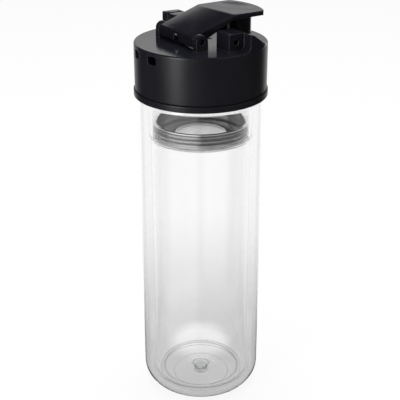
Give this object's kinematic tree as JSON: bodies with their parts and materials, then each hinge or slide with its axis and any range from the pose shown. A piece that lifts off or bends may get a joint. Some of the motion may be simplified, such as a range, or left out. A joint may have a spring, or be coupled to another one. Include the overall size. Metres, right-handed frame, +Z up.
{
  "type": "glass tea bottle",
  "caption": "Double-wall glass tea bottle with a steel strainer cup in its neck and a black screw lid whose flip lever covers a drinking spout.",
  "frame": {"origin": "middle of the base, on the surface that the bottle stands on", "axes": "+Z up along the bottle, +X towards the drinking spout, +Y towards the latch button"},
  "size_m": [0.0764, 0.0764, 0.2379],
  "materials": {
    "clear_glass": "clear polished",
    "black_plastic": "satin moulded",
    "inner_plastic": "moulded",
    "clear_silicone": "translucent",
    "dark_silicone": "matte",
    "spring_steel": "bright",
    "polished_steel": "polished"
  },
  "bodies": {
    "bottle": {"outer_glass": "clear_glass", "inner_glass": "clear_glass", "base_plug": "clear_silicone", "neck_collar": "black_plastic", "collar_gasket": "dark_silicone"},
    "strainer": {"strainer_cup": "polished_steel", "sieve": "polished_steel", "strainer_gasket": "clear_silicone"},
    "lid_ring": {"lid_seal": "clear_silicone"},
    "lid": {"lid_shell": "black_plastic", "lid_inner": "inner_plastic", "lid_screw_1": "spring_steel", "lid_screw_2": "spring_steel", "lid_screw_3": "spring_steel", "spout": "black_plastic", "spout_seal": "dark_silicone", "vent_valve": "clear_silicone", "hinge_pin": "spring_steel", "lever_spring": "spring_steel"},
    "lever": {"flip_lever": "black_plastic", "lever_stopper": "clear_silicone"},
    "latch": {"latch_button": "black_plastic", "latch_bolt": "spring_steel", "latch_spring": "spring_steel"}
  },
  "joints": [
    {"name": "strainer_lift", "type": "slide", "parent": "bottle", "child": "strainer", "axis": [0, 0, 1], "range_m": [0, 0.0233]},
    {"name": "lid_lift", "type": "slide", "parent": "bottle", "child": "lid_ring", "axis": [0, 0, 1], "range_m": [0, 0.0061]},
    {"name": "lid_twist", "type": "hinge", "parent": "lid_ring", "child": "lid", "pos_m": [0, 0, 0.222], "axis": [0, 0, 1], "range_deg": [0, 540]},
    {"name": "lever_hinge", "type": "hinge", "parent": "lid", "child": "lever", "pos_m": [-0.0129, 0, 0.2271], "axis": [0, -1, 0], "range_deg": [0, 110]},
    {"name": "latch_slide", "type": "slide", "parent": "lid", "child": "latch", "axis": [0, -1, 0], "range_m": [0, 0.0015], "stiffness_N_per_m": 400}
  ],
  "couplings": [
    {"joint": "lid_lift", "follows": "lid_twist", "m_per_rad": 0.00063662}
  ]
}
